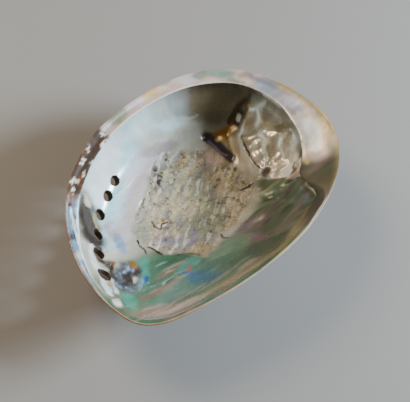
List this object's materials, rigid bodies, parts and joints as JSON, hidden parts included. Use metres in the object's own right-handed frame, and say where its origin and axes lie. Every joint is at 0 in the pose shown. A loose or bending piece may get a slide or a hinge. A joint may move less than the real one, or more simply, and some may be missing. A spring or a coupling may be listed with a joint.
{
  "type": "abalone shell",
  "caption": "Ear-shaped abalone shell lying hollow upwards: an iridescent bowl with an inturned shelf along one side, a low off-centre spire and a curved row of breathing holes.",
  "frame": {"origin": "centre of the shell's bounding box in plan, on the surface that its back rests on", "axes": "+Z out of the shell's mouth; +X along its length, towards the spire end; +Y towards the columellar side, with the shelf and the row of holes"},
  "size_m": [0.1653, 0.1274, 0.0476],
  "materials": {
    "nacre": null
  },
  "bodies": {
    "root": {"shell": "nacre"}
  },
  "joints": []
}
